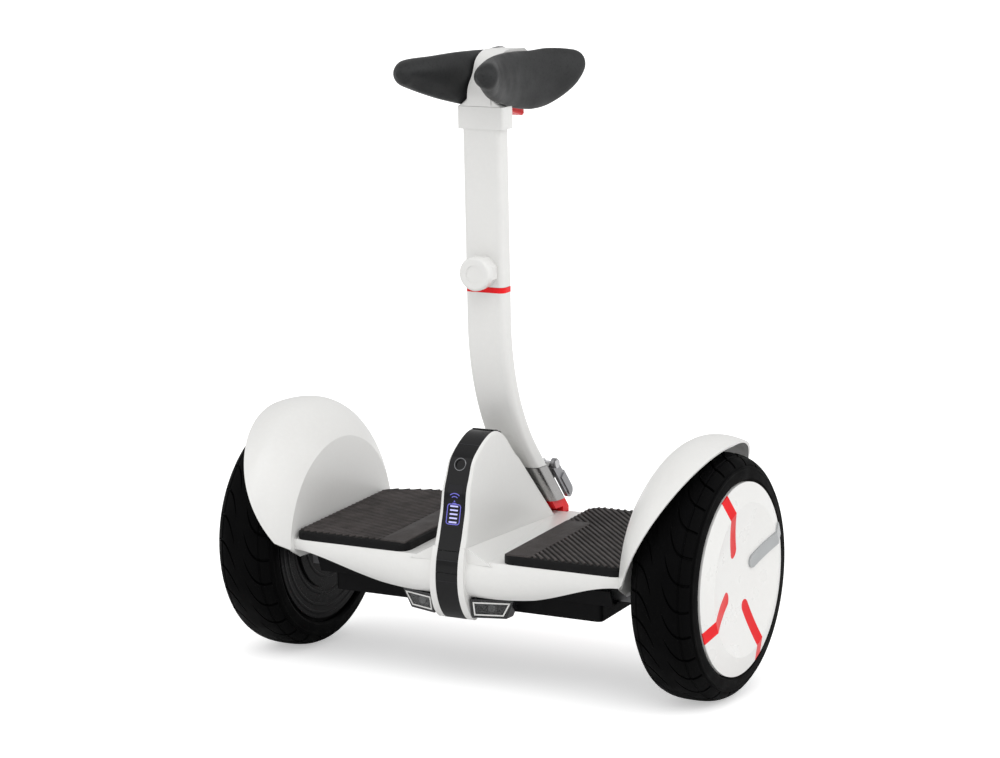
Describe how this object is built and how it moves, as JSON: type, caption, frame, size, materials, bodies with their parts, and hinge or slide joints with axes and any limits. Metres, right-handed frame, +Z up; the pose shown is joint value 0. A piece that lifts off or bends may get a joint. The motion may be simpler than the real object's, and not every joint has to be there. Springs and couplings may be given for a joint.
{
  "type": "self balancing personal transporter",
  "caption": "Self-balancing personal transporter: foot deck between hub-motor wheels under fenders, with a leaning bar that carries a height-adjustable knee pad head.",
  "frame": {"origin": "on the ground under the middle of the axle, which is the middle of the footprint", "axes": "+X along the axle to the rider's right, -Y to the front, +Z up"},
  "size_m": [0.5588, 0.2519, 0.6354],
  "materials": {
    "battery_case": "fine grain",
    "board": "lacquered",
    "button": "satin",
    "cast_frame": "cast, dark coated",
    "clamp_metal": "brushed",
    "clear_lens": "clear",
    "copper": "enamelled",
    "dark_plastic": "fine grain",
    "display": "gloss, dark tinted",
    "gloss_black": "gloss",
    "grey_trim": "satin",
    "hubcap": "satin off-white",
    "iron": "varnished",
    "lamp_bezel": "satin",
    "latch_metal": "satin",
    "led": "satin",
    "magnet": "plated",
    "mast_metal": "anodised",
    "mat_rubber": "matt",
    "motor_cover": "satin dark grey",
    "pad_rubber": "soft, matt",
    "red_block": "satin",
    "red_lens": "gloss, tinted",
    "red_trim": "satin",
    "rim": "cast, satin",
    "seal_rubber": "matt",
    "steel": "plain",
    "tyre": "matt",
    "white_bar": "satin off-white",
    "white_shell": "satin off-white"
  },
  "bodies": {
    "chassis": {"axles": "steel", "battery_bolts": "steel", "battery_pack": "battery_case", "charge_inlet": "dark_plastic", "chassis_frame": "cast_frame", "coils": "copper", "control_board": "board", "deck_shell": "white_shell", "display_window": "display", "fender_left": "white_shell", "fender_right": "white_shell", "fender_screws": "steel", "foot_mat_left": "mat_rubber", "foot_mat_right": "mat_rubber", "foot_sensors": "dark_plastic", "headlamp_bezels": "lamp_bezel", "headlamp_leds": "led", "headlamp_lenses": "clear_lens", "hump_shell": "white_shell", "lower_tray": "dark_plastic", "stators": "iron", "steering_bearings": "steel", "steering_stops": "seal_rubber", "strip_lower": "gloss_black", "strip_top": "gloss_black", "tail_lamps": "red_lens", "wheel_bearings": "steel"},
    "wheel_left": {"tyre_left": "tyre", "rim_left": "rim", "motor_covers_left": "motor_cover", "magnet_ring_left": "magnet", "hubcap_left": "hubcap", "hubcap_inlays_left": "red_trim", "valve_cover_left": "grey_trim"},
    "wheel_right": {"tyre_right": "tyre", "rim_right": "rim", "motor_covers_right": "motor_cover", "magnet_ring_right": "magnet", "hubcap_right": "hubcap", "hubcap_inlays_right": "red_trim", "valve_cover_right": "grey_trim"},
    "stem": {"steering_shaft": "steel", "hinge_block": "red_block", "clamp": "clamp_metal", "latch_pin": "steel", "lower_tube": "white_bar", "red_ring": "red_trim", "inner_mast": "mast_metal"},
    "latch": {"latch_lever": "latch_metal"},
    "upper_bar": {"upper_tube": "white_bar", "collar": "white_shell"},
    "knob": {"height_knob": "white_shell"},
    "head": {"head_spine": "white_shell", "head_tube": "mast_metal", "knee_pad_left": "pad_rubber", "knee_pad_right": "pad_rubber"},
    "trigger": {"release_trigger": "red_trim"},
    "button": {"power_button": "button"},
    "inlet_cap": {"inlet_cap": "seal_rubber"}
  },
  "joints": [
    {"name": "wheel_left_spin", "type": "hinge", "parent": "chassis", "child": "wheel_left", "pos_m": [-0.2372, 0, 0.1235], "axis": [1, 0, 0], "continuous": true},
    {"name": "wheel_right_spin", "type": "hinge", "parent": "chassis", "child": "wheel_right", "pos_m": [0.2372, 0, 0.1235], "axis": [1, 0, 0], "continuous": true},
    {"name": "steering_lean", "type": "hinge", "parent": "chassis", "child": "stem", "pos_m": [0, 0.00024, 0.12001], "axis": [0, 0.9976, 0.0698], "range_deg": [-10, 10], "stiffness_Nm_per_rad": 60},
    {"name": "latch_open", "type": "hinge", "parent": "stem", "child": "latch", "pos_m": [0.0191, 0.08148, 0.20247], "axis": [1, 0, 0], "range_deg": [0, 100]},
    {"name": "mast_slide", "type": "slide", "parent": "stem", "child": "upper_bar", "axis": [0, -0.0419, 0.9991], "range_m": [0, 0.1]},
    {"name": "head_slide", "type": "slide", "parent": "upper_bar", "child": "head", "axis": [0, -0.0419, 0.9991], "range_m": [0, 0.118]},
    {"name": "knob_turn", "type": "hinge", "parent": "upper_bar", "child": "knob", "pos_m": [0, -0.04325, 0.41478], "axis": [0, -0.9991, -0.0419], "range_deg": [0, 180]},
    {"name": "trigger_pull", "type": "slide", "parent": "head", "child": "trigger", "axis": [0, -0.0419, 0.9991], "range_m": [0, 0.004], "stiffness_N_per_m": 600, "springref_m": -0.003},
    {"name": "button_press", "type": "slide", "parent": "chassis", "child": "button", "axis": [0, 0.9182, -0.396], "range_m": [0, 0.0008], "stiffness_N_per_m": 1500, "springref_m": -0.001},
    {"name": "inlet_cap_swing", "type": "hinge", "parent": "chassis", "child": "inlet_cap", "pos_m": [0.108, 0.1086, 0.121], "axis": [0, 0, -1], "range_deg": [0, 150]}
  ]
}
